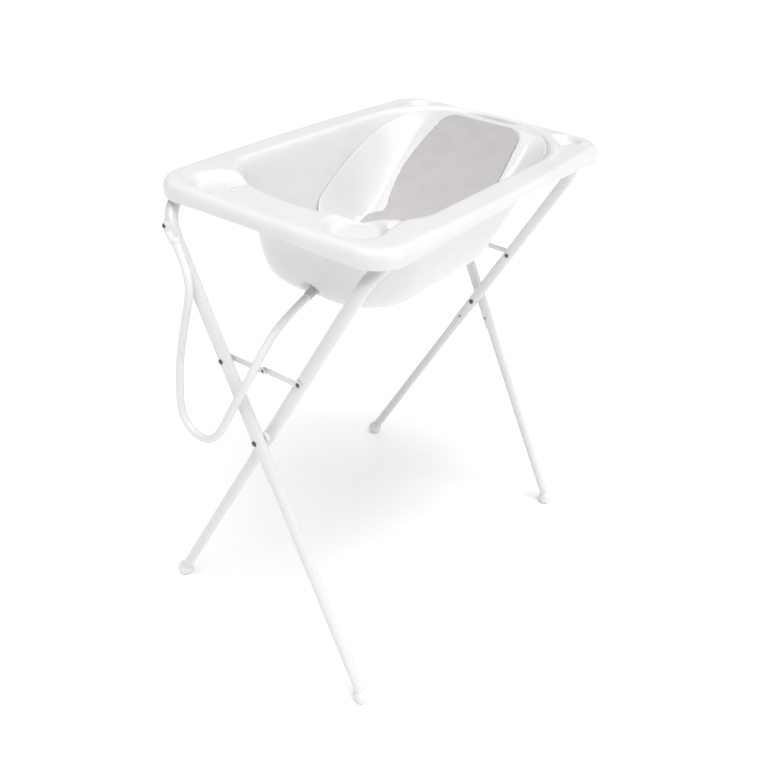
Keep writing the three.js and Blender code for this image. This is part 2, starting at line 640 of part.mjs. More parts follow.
const PAD_HALF = [[12, 96], [24, 105], [49, 107], [64, 106], [76, 100], [84, 88], [101, 90], [118, 97],
  [148, 106], [181, 112], [211, 113.5], [243, 110], [276, 105], [303, 101], [318, 94], [328, 76]];

function centreHeight(x) {
  const plane = BACK_TOP[1] - RECLINE * (BACK_TOP[0] - x);
  const seat = SEAT_Z + 14 * Math.log1p(Math.exp((plane - SEAT_Z) / 14));
  return Math.min(seat, BACK_TOP[1] + 2);
}

function supportHeight(x, y) {
  const half = along(HALF_WIDTH, x);
  const flat = Math.min(along(FLAT_HALF, x), half - 14);
  const side = THREE.MathUtils.clamp((Math.abs(y) - flat) / (half - flat), 0, 1);
  const rise = Math.max(along(EDGE_Z, x) - centreHeight(x), 0);
  return centreHeight(x) + rise * side ** 1.2;
}

// A box of many cells laid over the support's surface.
function laidSheet(from, to, halfAt, under, thick, cells) {
  const geometry = new THREE.BoxGeometry(1, 1, 1, cells[0], cells[1], 1);
  const { position } = geometry.attributes;
  for (let i = 0; i < position.count; i += 1) {
    const x = from + (to - from) * (position.getX(i) + 0.5);
    const y = 2 * halfAt(x) * position.getY(i);
    const z = supportHeight(x, y) + under + thick * (position.getZ(i) + 0.5);
    position.setXYZ(i, x, y, z);
  }
  return closed(geometry);
}

add(model, 'bath_support', laidSheet(SUPPORT.foot, SUPPORT.head, (x) => along(HALF_WIDTH, x),
  -SUPPORT.thick, SUPPORT.thick, [24, 14]), whitePlastic);
add(model, 'support_pad', laidSheet(PAD.foot, PAD.head, (x) => along(PAD_HALF, x), PAD_UNDER, PAD.thick,
  [22, 10]), greyPad);

export default model;
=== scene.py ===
"""Looks of a baby bath on a folding stand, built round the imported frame. +X is the head
end, -Y the near long side, +Z up. Shapes are worked out in millimetres, made in metres."""

import math

import bmesh
import bpy
import numpy as np
from mathutils import Matrix, Vector


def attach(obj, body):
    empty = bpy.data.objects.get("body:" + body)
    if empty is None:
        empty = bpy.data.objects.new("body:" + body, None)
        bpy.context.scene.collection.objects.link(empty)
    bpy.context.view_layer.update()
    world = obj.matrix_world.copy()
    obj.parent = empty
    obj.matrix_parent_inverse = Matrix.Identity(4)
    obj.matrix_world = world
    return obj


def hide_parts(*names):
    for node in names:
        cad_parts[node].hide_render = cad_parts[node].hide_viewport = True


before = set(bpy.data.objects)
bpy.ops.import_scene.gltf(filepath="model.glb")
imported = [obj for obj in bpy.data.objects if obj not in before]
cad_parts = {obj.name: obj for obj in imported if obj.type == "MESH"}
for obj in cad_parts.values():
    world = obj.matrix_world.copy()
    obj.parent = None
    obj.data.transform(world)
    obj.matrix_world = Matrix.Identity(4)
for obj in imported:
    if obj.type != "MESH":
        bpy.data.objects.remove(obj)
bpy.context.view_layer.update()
MM = 0.001

# ---- camera -----------------------------------------------------------------
CAMERA_AT = (-1.45048, -0.96490, 1.56184)
CAMERA_RIGHT = Vector((0.5833, -0.8102, 0.0587)).normalized()
CAMERA_UP = Vector((0.4031, 0.3515, 0.8449))
LENS = 42.05

camera_data = bpy.data.cameras.new("camera")
camera_data.lens = LENS
camera_data.sensor_width = 36
camera_data.clip_end = 50
camera = bpy.data.objects.new("camera", camera_data)
bpy.context.scene.collection.objects.link(camera)
back = CAMERA_RIGHT.cross(CAMERA_UP).normalized()
up = back.cross(CAMERA_RIGHT).normalized()
turn = Matrix((CAMERA_RIGHT, up, back)).transposed().to_4x4()
camera.matrix_world = Matrix.Translation(CAMERA_AT) @ turn
bpy.context.scene.camera = camera

# ---- the hose: the same route as its solid ------------------------------------
HOSE_R = 7.85
HOSE_ROUTE = [
    (-308, -6, 793.8), (-334, -7, 785), (-363, -10, 776), (-392, -13, 763), (-416, -14, 745),
    (-434, -11, 721), (-446, -2, 690), (-453, 13, 655), (-455, 29, 622), (-455, 46, 588),
    (-454.5, 62, 558), (-454, 80, 532.2), (-453.4, 98.6, 515.8), (-452.6, 124, 509.5),
    (-451.6, 149.4, 515.8), (-450.8, 168.8, 533.3), (-450.2, 177.7, 557.9), (-450, 178, 590),
    (-450, 176, 625), (-450, 172, 660), (-450, 165, 697), (-450, 156, 736), (-449, 146.5, 775),
    (-447.4, 139.6, 810), (-445, 141, 842), (-440.5, 156.5, 872), (-438.4, 168.4, 894),
    (-438.3, 172.9, 902.5),
]
DRAIN_AT = np.array((-260.0, -6.0, 811.0))
DRAIN_TILT = math.radians(20)
DRAIN_AXIS = np.array((-math.cos(DRAIN_TILT), 0, -math.sin(DRAIN_TILT)))
BOSS_HALF = 4
GAP = 0.3
SPIGOT_END = BOSS_HALF + 2 + 2 * GAP + 22


def along_drain(distance):
    return DRAIN_AT + DRAIN_AXIS * distance


hose_points = [tuple(along_drain(SPIGOT_END + GAP))] + HOSE_ROUTE


def hose_curve(name, points, radius):
    """A bevelled Bezier curve through the points, with smooth handles."""
    data = bpy.data.curves.new(name, "CURVE")
    data.dimensions = "3D"
    data.bevel_depth = radius * MM
    data.bevel_resolution = 12
    data.resolution_u = 10
    data.use_fill_caps = True
    spline = data.splines.new("BEZIER")
    spline.bezier_points.add(len(points) - 1)
    for knot, point in zip(spline.bezier_points, points):
        knot.co = Vector(point) * MM
        knot.handle_left_type = knot.handle_right_type = "AUTO"
    piece = bpy.data.objects.new(name, data)
    bpy.context.scene.collection.objects.link(piece)
    return piece


hose = hose_curve("hose", hose_points, HOSE_R)


# ---- materials ----------------------------------------------------------------
def material(name, color, roughness, *, metallic=0.0, coat=0.0, subsurface=0.0, grain=900,
             grain_depth=0.02, tint=0.03, tint_scale=14, spread=0.06, sheen=0.0):
    """A Principled surface whose colour drifts a little, with grain in bump and gloss."""
    made = bpy.data.materials.new(name)
    made.use_nodes = True
    tree = made.node_tree
    shader = tree.nodes["Principled BSDF"]
    shader.inputs["Metallic"].default_value = metallic
    shader.inputs["Coat Weight"].default_value = coat
    shader.inputs["Coat Roughness"].default_value = 0.25
    shader.inputs["Subsurface Weight"].default_value = subsurface
    shader.inputs["Subsurface Radius"].default_value = (0.012, 0.011, 0.010)
    shader.inputs["Sheen Weight"].default_value = sheen
    place = tree.nodes.new("ShaderNodeTexCoord").outputs["Object"]

    def noise(scale, detail):
        node = tree.nodes.new("ShaderNodeTexNoise")
        node.inputs["Scale"].default_value = scale
        node.inputs["Detail"].default_value = detail
        tree.links.new(place, node.inputs["Vector"])
        return node.outputs["Fac"]

    drift = tree.nodes.new("ShaderNodeValToRGB")
    low, high = drift.color_ramp.elements
    low.position, high.position = 0.3, 0.7
    low.color = (*[c * (1 - tint) for c in color], 1)
    high.color = (*[min(c * (1 + tint * 0.5), 1) for c in color], 1)
    tree.links.new(noise(tint_scale, 3), drift.inputs["Fac"])
    tree.links.new(drift.outputs["Color"], shader.inputs["Base Color"])

    gloss = tree.nodes.new("ShaderNodeMapRange")
    gloss.inputs["From Min"].default_value = 0.3
    gloss.inputs["From Max"].default_value = 0.7
    gloss.inputs["To Min"].default_value = roughness - spread
    gloss.inputs["To Max"].default_value = roughness + spread
    tree.links.new(noise(tint_scale * 4, 4), gloss.inputs["Value"])
    tree.links.new(gloss.outputs["Result"], shader.inputs["Roughness"])

    bump = tree.nodes.new("ShaderNodeBump")
    bump.inputs["Strength"].default_value = 0.6
    bump.inputs["Distance"].default_value = grain_depth * MM
    tree.links.new(noise(grain, 2), bump.inputs["Height"])
    tree.links.new(bump.outputs["Normal"], shader.inputs["Normal"])
    return made


TUB_WHITE = material("tub_white", (0.80, 0.795, 0.785), 0.36, coat=0.15, subsurface=0.04,
                     grain=1400, grain_depth=0.012)
SUPPORT_WHITE = material("support_white", (0.745, 0.74, 0.745), 0.4, coat=0.1, subsurface=0.04,
                         grain=1700, grain_depth=0.02)
PAINT = material("white_paint", (0.745, 0.74, 0.735), 0.3, coat=0.35, grain=2600,
                 grain_depth=0.006, tint=0.01, spread=0.015)
MOULDED = material("moulded_white", (0.80, 0.797, 0.79), 0.38, coat=0.1, subsurface=0.05,
                   grain=2000, grain_depth=0.012)
HOSE_WHITE = material("hose_white", (0.80, 0.795, 0.785), 0.42, subsurface=0.08, grain=1200,
                      grain_depth=0.01)
DARK_STEEL = material("dark_steel", (0.12, 0.118, 0.115), 0.36, metallic=0.75, grain=3000,
                      grain_depth=0.01, tint=0.2)
BARE_STEEL = material("bare_steel", (0.42, 0.41, 0.40), 0.34, metallic=1.0, grain=3000,
                      grain_depth=0.008, tint=0.12)
DRAIN_GREY = material("drain_grey", (0.62, 0.615, 0.61), 0.45, grain=2400, tint=0.08)
RUBBER = material("black_rubber", (0.03, 0.03, 0.03), 0.7, grain=2000, grain_depth=0.03,
                  tint=0.15)
PAD_GREY = material("pad_grey", (0.495, 0.48, 0.475), 0.78, grain=1100, grain_depth=0.10,
                    tint=0.05, tint_scale=26, spread=0.08, sheen=0.15)
FLOOR = material("pale_floor", (0.96, 0.96, 0.96), 0.95, grain=300, tint=0.004)
floor_shader = FLOOR.node_tree.nodes["Principled BSDF"]
floor_shader.inputs["Emission Color"].default_value = (1, 1, 1, 1)
floor_shader.inputs["Emission Strength"].default_value = 0.1


# ---- pieces -------------------------------------------------------------------
def finish_piece(piece, surface, body, replaced=()):
    piece.data.materials.clear()
    piece.data.materials.append(surface)
    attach(piece, body)
    if replaced:
        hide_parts(*replaced)
    return piece


def solid(name, points, faces):
    """A closed mesh from points in millimetres, facing outward."""
    data = bpy.data.meshes.new(name)
    data.from_pydata((np.asarray(points, dtype=float) * MM).tolist(), [], faces)
    data.validate()
    shape = bmesh.new()
    shape.from_mesh(data)
    bmesh.ops.recalc_face_normals(shape, faces=shape.faces)
    shape.to_mesh(data)
    shape.free()
    piece = bpy.data.objects.new(name, data)
    bpy.context.scene.collection.objects.link(piece)
    return piece


def smooth_piece(piece, sharp=40):
    piece.data.polygons.foreach_set("use_smooth", [True] * len(piece.data.polygons))
    piece.data.set_sharp_from_angle(angle=math.radians(sharp))
    return piece


def apply_modifiers(piece):
    depsgraph = bpy.context.evaluated_depsgraph_get()
    made = bpy.data.meshes.new_from_object(piece.evaluated_get(depsgraph))
    piece.modifiers.clear()
    old = piece.data
    piece.data = made
    bpy.data.meshes.remove(old)
    return piece


def ring_faces(rows, around, first=0):
    """Quads between rings of points, ring after ring."""
    faces = []
    for row in range(rows - 1):
        a = first + row * around
        b = a + around
        for i in range(around):
            j = (i + 1) % around
            faces.append((a + i, a + j, b + j, b + i))
    return faces


def rings(name, loops, capped=True):
    """A skin over loops of points; capped ends close on the loops' middles."""
    loops = [np.asarray(loop, dtype=float) for loop in loops]
    around = len(loops[0])
    points = np.concatenate(loops)
    faces = ring_faces(len(loops), around)
    if capped:
        points = np.concatenate([points, [loops[0].mean(0)], [loops[-1].mean(0)]])
        first, last = len(points) - 2, len(points) - 1
        base = (len(loops) - 1) * around
        for i in range(around):
            j = (i + 1) % around
            faces.append((first, j, i))
            faces.append((last, base + i, base + j))
    return solid(name, points, faces)


def join(name, pieces):
    """One mesh object from several."""
    shape = bmesh.new()
    for piece in pieces:
        shape.from_mesh(piece.data)
    data = bpy.data.meshes.new(name)
    shape.to_mesh(data)
    shape.free()
    for piece in pieces:
        old = piece.data
        bpy.data.objects.remove(piece)
        bpy.data.meshes.remove(old)
    made = bpy.data.objects.new(name, data)
    bpy.context.scene.collection.objects.link(made)
    return made


def unit(vector):
    vector = np.asarray(vector, dtype=float)
    return vector / np.linalg.norm(vector)


def across(axis):
    """Two directions square to an axis and to each other."""
    axis = unit(axis)
    helper = np.array((0.0, 0.0, 1.0)) if abs(axis[2]) < 0.9 else np.array((1.0, 0.0, 0.0))
    side = unit(np.cross(helper, axis))
    return side, np.cross(axis, side)


def circle(centre, side, other, radius, sides):
    angle = np.linspace(0, 2 * math.pi, sides, endpoint=False)[:, None]
    return centre + radius * (np.cos(angle) * side + np.sin(angle) * other)


def lathe(name, profile, origin, axis, sides=40):
    """Turned about an axis from [radius, distance] pairs that start and end on it, or that
    come back to their start."""
    origin, axis = np.asarray(origin, dtype=float), unit(axis)
    side, other = across(axis)
    closed = profile[0] == profile[-1]
    pairs = profile[:-1] if closed else profile
    loops = [circle(origin + axis * d, side, other, max(r, 0.01), sides) for r, d in pairs]
    if closed:
        points = np.concatenate(loops)
        faces = ring_faces(len(loops), sides)
        base = (len(loops) - 1) * sides
        for i in range(sides):
            j = (i + 1) % sides
            faces.append((base + i, base + j, j, i))
        return smooth_piece(solid(name, points, faces), 35)
    return smooth_piece(rings(name, loops), 35)


def domed(radius, base, height, steps=6, edge=0.35):
    """Profile pairs of a low dome that ends on the axis."""
    pairs = [(radius, base), (radius, base + edge)]
    for i in range(1, steps + 1):
        angle = i / steps * math.pi / 2
        pairs.append((radius * math.cos(angle), base + edge + (height - edge) * math.sin(angle)))
    return pairs


def swept(name, rows, sides=40):
    """A round skin along (point, radius) rows. Rows at one point share its direction."""
    points = np.array([row[0] for row in rows], dtype=float)
    step = np.gradient(points, axis=0)
    loops = []
    side = None
    direction = None
    for i, (point, radius) in enumerate(rows):
        if np.linalg.norm(step[i]) > 1e-6:
            direction = unit(step[i])
        if side is None:
            side, _ = across(direction)
        side = unit(side - direction * side.dot(direction))
        loops.append(circle(np.asarray(point), side, np.cross(direction, side), radius, sides))
    return smooth_piece(rings(name, loops), 35)


# ---- stand ----------------------------------------------------------------------
PIVOT_Z = 539
TILT = math.radians(28)
OUTER_X, INNER_X = 420, 385
UPPER_R, LOWER_R, WALL = 12.7, 11, 1.4
BAR_Z, BEND_R = 964, 64
FOOT_R, FOOT_Z = 17.3, 16.4
TUBE_JOINT, SCREW_BELOW, BRACE_ABOVE = 86, 59, 171


def along_leg(z):
    return (z - PIVOT_Z) / math.cos(TILT)


def leg_point(label, x, s, y=0.0):
    """A point of a leg frame: s runs up the legs, y is square to the frame's plane."""
    lean = TILT if label == "outer" else -TILT
    return np.array((x, y * math.cos(lean) + s * math.sin(lean),
                     PIVOT_Z - y * math.sin(lean) + s * math.cos(lean)))


def leg_direction(label, x, y, s):
    return leg_point(label, x, s, y) - leg_point(label, 0, 0)


def frame_tube(label, leg_x):
    bar_s = along_leg(BAR_Z)
    bend_s = bar_s - BEND_R

    def rim_rows(side, order):
        """The open end of the tube: the wall's rounded edge and the bore behind it."""
        at = [(UPPER_R - WALL, 30), (UPPER_R - WALL, 0.3), (UPPER_R - WALL * 0.7, 0.02),
              (UPPER_R - WALL * 0.3, 0.0), (UPPER_R, 0.35), (UPPER_R, 2)]
        made = [(leg_point(label, side * leg_x, -TUBE_JOINT + s), radius) for radius, s in at]
        return made if order > 0 else made[::-1]

    rows = rim_rows(-1, 1)
    for s in (-60, -20, 40, 120, 220, 320, bend_s - 20):
        rows.append((leg_point(label, -leg_x, s), UPPER_R))
    for i in range(25):
        angle = math.pi - i / 24 * math.pi / 2
        rows.append((leg_point(label, -leg_x + BEND_R + BEND_R * math.cos(angle),
                               bend_s + BEND_R * math.sin(angle)), UPPER_R))
    for x in (-250, -100, 0, 100, 250):
        rows.append((leg_point(label, x, bar_s), UPPER_R))
    for i in range(25):
        angle = math.pi / 2 - i / 24 * math.pi / 2
        rows.append((leg_point(label, leg_x - BEND_R + BEND_R * math.cos(angle),
                               bend_s + BEND_R * math.sin(angle)), UPPER_R))
    for s in (bend_s - 20, 320, 220, 120, 40, -20, -60):
        rows.append((leg_point(label, leg_x, s), UPPER_R))
    rows += rim_rows(1, -1)
    return swept(f"{label}_frame_tube", rows)


def lower_leg(label, end, x):
    foot_s = along_leg(FOOT_Z)
    rows = [(leg_point(label, x, s), LOWER_R) for s in
            (foot_s + 4, foot_s + 60, foot_s + 200, -SCREW_BELOW - 20, -TUBE_JOINT + 40)]
    return swept(f"{end}_{label}_leg", rows, 36)


def ball_foot(label, end, x):
    """A moulded ball with a flat on the floor and a socket lip."""
    centre = leg_point(label, x, along_leg(FOOT_Z))
    flat = math.sqrt(FOOT_R ** 2 - FOOT_Z ** 2)
    profile = [(0, -FOOT_Z), (flat - 0.6, -FOOT_Z), (flat + 0.2, -FOOT_Z + 0.15)]
    low = math.asin((-FOOT_Z + 0.6) / FOOT_R)
    for i in range(33):
        angle = low + (math.pi / 2 - low) * i / 32
        profile.append((FOOT_R * math.cos(angle), FOOT_R * math.sin(angle)))
    ball = lathe("ball", profile, centre, (0, 0, 1), 48)
    lean = leg_direction(label, 0, 0, 1)
    reach = math.sqrt(FOOT_R ** 2 - (LOWER_R + 1.4) ** 2)
    lip = lathe("lip", [(LOWER_R + 0.1, reach - 3), (LOWER_R + 2.2, reach - 2.2),
                        (LOWER_R + 1.7, reach + 0.6), (LOWER_R + 0.9, reach + 1.2),
                        (LOWER_R + 0.1, reach + 1.1), (LOWER_R + 0.1, reach - 3)],
                centre, lean, 40)
    return smooth_piece(join(f"{end}_{label}_ball", [ball, lip]), 35)


def cross_screw(name, origin, axis, radius, height, shaft, shaft_r):
    """A domed head with a pressed recess, and its shank behind it."""
    recess = radius * 0.38
    profile = [(0, -shaft), (shaft_r * 0.7, -shaft), (shaft_r, -shaft + 1), (shaft_r, 0),
               (radius, 0)]
    dome = domed(radius, 0, height, 8)
    profile += [pair for pair in dome[1:] if pair[0] > recess + 0.4]
    top = profile[-1][1]
    profile += [(recess, top + 0.08), (recess * 0.9, top - height * 0.35), (0, top - height * 0.42)]
    return lathe(name, profile, origin, axis, 28)


for label, leg_x in (("outer", OUTER_X), ("inner", INNER_X)):
    body = f"stand_{label}"
    finish_piece(frame_tube(label, leg_x), PAINT, body, [f"{label}_upper_frame"])
    for end, side in (("near", -1), ("far", 1)):
        x = side * leg_x
        node = f"{end}_{label}"
        finish_piece(lower_leg(label, end, x), PAINT, body, [f"{node}_lower_leg"])
        finish_piece(ball_foot(label, end, x), MOULDED, body, [f"{node}_foot"])
        face = leg_point(label, x - side * (UPPER_R + 0.1), -SCREW_BELOW)
        screw = cross_screw(f"{node}_screw", face, (-side, 0, 0), 3.9, 2.0, 5, 2.3)
        finish_piece(screw, BARE_STEEL, body, [f"{node}_joint_screw"])

PIN_R = 4
for end, side in (("near", -1), ("far", 1)):
    start = np.array((side * (INNER_X - UPPER_R - GAP), 0, PIVOT_Z))
    through = OUTER_X - INNER_X + 2 * (UPPER_R + GAP)
    tail = [(r, -d) for r, d in domed(6, 0, 2.5)][::-1]
    rivet = tail + [(PIN_R, 0), (PIN_R, through)] + domed(5.6, through, 2.8)
    finish_piece(lathe(f"{end}_pivot", rivet, start, (side, 0, 0), 36), DARK_STEEL,
                 "stand_outer", [f"{end}_pivot_rivet"])
    width = OUTER_X - INNER_X - 2 * UPPER_R
    disc = [(PIN_R + GAP, GAP), (9.9, GAP), (10.5, GAP + 0.6), (10.5, width - GAP - 0.6),
            (9.9, width - GAP), (PIN_R + GAP, width - GAP), (PIN_R + GAP, GAP)]
    finish_piece(lathe(f"{end}_spacer", disc, (side * (INNER_X + UPPER_R), 0, PIVOT_Z),
                       (side, 0, 0), 40),
                 MOULDED, "stand_outer", [f"{end}_pivot_spacer"])

# ---- braces -----------------------------------------------------------------------
BRACE_Y = BRACE_ABOVE * math.sin(TILT)
BRACE_Z = PIVOT_Z + BRACE_ABOVE * math.cos(TILT)
BRACE_HALF, BRACE_THICK, BRACE_PIN_R = 6, 2.5, 3
GAP_MIDDLE = (OUTER_X - UPPER_R + INNER_X + UPPER_R) / 2


def half_link(name, y_leg, low_x):
    """A flat bar with round ends and a softened edge."""
    reach, sign = abs(y_leg), math.copysign(1, y_leg)
    steps = 20
    outline = []
    for i in range(steps + 1):
        angle = math.pi / 2 + i / steps * math.pi
        outline.append((BRACE_HALF * math.cos(angle), BRACE_HALF * math.sin(angle)))
    for i in range(steps + 1):
        angle = -math.pi / 2 + i / steps * math.pi
        outline.append((reach + BRACE_HALF * math.cos(angle), BRACE_HALF * math.sin(angle)))
    outline = np.array(outline)
    middle = np.column_stack([np.clip(outline[:, 0], 0, reach), np.zeros(len(outline))])
    edge = 0.45

    def loop(shrink, x):
        inner = middle + (outline - middle) * (1 - shrink / BRACE_HALF)
        return np.column_stack([np.full(len(inner), x), sign * inner[:, 0], BRACE_Z + inner[:, 1]])

    high_x = low_x + BRACE_THICK
    loops = [loop(3.4, low_x), loop(edge, low_x), loop(edge * 0.3, low_x + edge * 0.3),
             loop(0, low_x + edge), loop(0, high_x - edge), loop(edge * 0.3, high_x - edge * 0.3),
             loop(edge, high_x), loop(3.4, high_x)]
    return smooth_piece(rings(name, loops), 30)


for end, side in (("near", -1), ("far", 1)):
    middle = side * GAP_MIDDLE
    outer_low = min(middle + side * 1.4, middle + side * 3.9)
    inner_low = min(middle - side * 1.4, middle - side * 3.9)
    finish_piece(half_link(f"{end}_outer_link", BRACE_Y, outer_low), PAINT,
                 f"{end}_outer_brace", [f"{end}_outer_brace_link"])
    finish_piece(half_link(f"{end}_inner_link", -BRACE_Y, inner_low), PAINT,
                 f"{end}_inner_brace", [f"{end}_inner_brace_link"])
    leg = UPPER_R + GAP
    for label, leg_x, way in (("outer", OUTER_X, 1), ("inner", INNER_X, -1)):
        tail_x = middle + way * side * 0.2
        length = abs(side * (leg_x + way * leg) - tail_x)
        profile = [(0, 0), (4.1, 0), (4.5, 0.3), (4.5, 0.7), (4.1, 0.9), (BRACE_PIN_R, 0.9),
                   (BRACE_PIN_R, length)] + domed(5.2, length, 2.5)
        y = BRACE_Y if label == "outer" else -BRACE_Y
        finish_piece(lathe(f"{end}_{label}_link_rivet", profile, (tail_x, y, BRACE_Z),
                           (way * side, 0, 0), 32),
                     DARK_STEEL, f"stand_{label}", [f"{end}_{label}_brace_rivet"])
    neck = middle - side * 1.1
    profile = [(0, 0), (BRACE_PIN_R - 0.4, 0), (BRACE_PIN_R, 0.4), (BRACE_PIN_R, 5.0)]
    profile += [(BRACE_PIN_R * 0.8, 5.25), (0, 5.3)]
    finish_piece(lathe(f"{end}_centre_rivet", profile, (neck, 0, BRACE_Z), (side, 0, 0), 28),
                 DARK_STEEL, f"{end}_outer_brace", [f"{end}_brace_centre_rivet"])


# ---- smooth tables ------------------------------------------------------------------
def pchip(xs, ys, x):
    """Monotone cubic interpolation of one or more columns."""
    xs, ys = np.asarray(xs, dtype=float), np.asarray(ys, dtype=float)
    flat = ys.ndim == 1
    if flat:
        ys = ys[:, None]
    h = np.diff(xs)[:, None]
    d = np.diff(ys, axis=0) / h
    slope = np.zeros_like(ys)
    same = d[:-1] * d[1:] > 0
    w1, w2 = 2 * h[1:] + h[:-1], h[1:] + 2 * h[:-1]
    with np.errstate(divide="ignore", invalid="ignore"):
        mean = (w1 + w2) / (w1 / d[:-1] + w2 / d[1:])
    slope[1:-1] = np.where(same, mean, 0)
    slope[0], slope[-1] = d[0], d[-1]
    x = np.clip(np.atleast_1d(np.asarray(x, dtype=float)), xs[0], xs[-1])
    i = np.clip(np.searchsorted(xs, x, side="right") - 1, 0, len(xs) - 2)
    t = ((x - xs[i]) / (xs[i + 1] - xs[i]))[:, None]
    hh = h[i]
    made = ((1 + 2 * t) * (1 - t) ** 2 * ys[i] + t * (1 - t) ** 2 * hh * slope[i]
            + t * t * (3 - 2 * t) * ys[i + 1] + t * t * (t - 1) * hh * slope[i + 1])
    return made[:, 0] if flat else made


def smooth(low, high, value):
    t = np.clip((value - low) / (high - low), 0, 1)
    return t * t * (3 - 2 * t)


# ---- tub ----------------------------------------------------------------------------
# Columns: height, foot end, head end, half width, foot corner radii, head corner radii.
BASIN = np.array([
    (785, -225, 120, 108, 90, 90, 100, 100),
    (793, -252, 165, 138, 95, 100, 120, 125),
    (808, -272, 203, 155, 100, 110, 140, 140),
    (835, -284, 235, 165, 105, 120, 150, 150),
    (905, -299, 306, 182, 115, 150, 165, 172),
    (975, -317, 372, 201, 128, 185, 190, 195),
    (990, -325, 377, 207, 133, 200, 190, 190),
    (998, -336, 381, 213, 138, 208, 188, 183),
], dtype=float)
TUB_WALL = 3
RIM_TOP, SKIRT_Z = 1000, 966
RIM_END, RIM_HALF, RIM_CORNER = 412.7, 259.3, 58
END_BOW, SIDE_BOW = 12, 14.8
SIDE_ARCH, END_ARCH = 16.5, 6.5
HEAD_RISE = 8
MIDDLE_X = -20
QUARTER = 150


def offset_level(level, by, z):
    return np.array((z, level[1] - by, level[2] + by, level[3] + by, *(level[4:8] + by)))


def rim_level(z, inset):
    corner = RIM_CORNER - inset * 0.8
    return np.array((z, -RIM_END + inset, RIM_END - inset, RIM_HALF - inset,
                     corner, corner, corner, corner), dtype=float)


def quarter_outline(end, half, rx, ry):
    """Evenly spaced points from the middle of an end to the middle of a side."""
    toward = math.copysign(1, end - MIDDLE_X)
    corner_x = end - toward * rx
    angle = np.linspace(0, math.pi / 2, 90)
    x = np.concatenate([[end], corner_x + toward * rx * np.cos(angle), [MIDDLE_X]])
    y = np.concatenate([[0], half - ry + ry * np.sin(angle), [half]])
    run = np.concatenate([[0], np.cumsum(np.hypot(np.diff(x), np.diff(y)))])
    at = np.linspace(0, run[-1], QUARTER + 1)
    return np.column_stack([np.interp(at, run, x), np.interp(at, run, y)])


def outline(level):
    head = quarter_outline(level[2], level[3], level[6], level[7])
    foot = quarter_outline(level[1], level[3], level[4], level[5])
    mirrored = np.array((1, -1))
    return np.concatenate([head[:-1], foot[:0:-1], foot[:-1] * mirrored, head[:0:-1] * mirrored])


def tub_ring(level, bow=0.0, arch=0.0, rise=0.0):
    x, y = outline(level).T
    z = np.full(len(x), level[0])
    ax, ay = x / RIM_END, y / RIM_HALF
    bow_x = END_BOW * np.maximum(0, 1 - ay ** 2) * smooth(300, RIM_END - 20, np.abs(x))
    bow_y = SIDE_BOW * np.maximum(0, 1 - ax ** 2) * smooth(200, RIM_HALF - 20, np.abs(y))
    x, y = x + bow * np.sign(x) * bow_x, y + bow * np.sign(y) * bow_y
    on_side = smooth(RIM_HALF - RIM_CORNER, RIM_HALF - RIM_CORNER * 0.3, np.abs(y))
    on_end = smooth(RIM_END - RIM_CORNER, RIM_END - RIM_CORNER * 0.3, np.abs(x))
    z = z + arch * SIDE_ARCH * np.maximum(0, 1 - (x / (RIM_END - RIM_CORNER)) ** 2) * on_side
    z = z + arch * END_ARCH * np.maximum(0, 1 - (y / (RIM_HALF - RIM_CORNER)) ** 2) * on_end
    z = z + rise * HEAD_RISE * smooth(180, 375, x)
    return np.column_stack([x, y, z])


def levels_between(keys, counts):
    """Levels along a section through key levels, a given count in each stretch."""
    keys = np.array(keys)
    run = np.concatenate([[0], np.cumsum(np.hypot(np.diff(keys[:, 0]), np.diff(keys[:, 3])) + 0.5)])
    at = [run[0]]
    for i, count in enumerate(counts):
        at.extend(np.linspace(run[i], run[i + 1], count + 1)[1:])
    return pchip(run, keys, at)


def arch_at(z):
    """How much of the skirt's arch a height has: none at the rim, all at the lower edge."""
    return float(np.clip((984 - z) / 17, 0, 1))


def floor_share(z):
    """How much of the wall's thickness lies below a level: all of it at the floor."""
    return float(np.clip((835 - z) / 50, 0, 1))


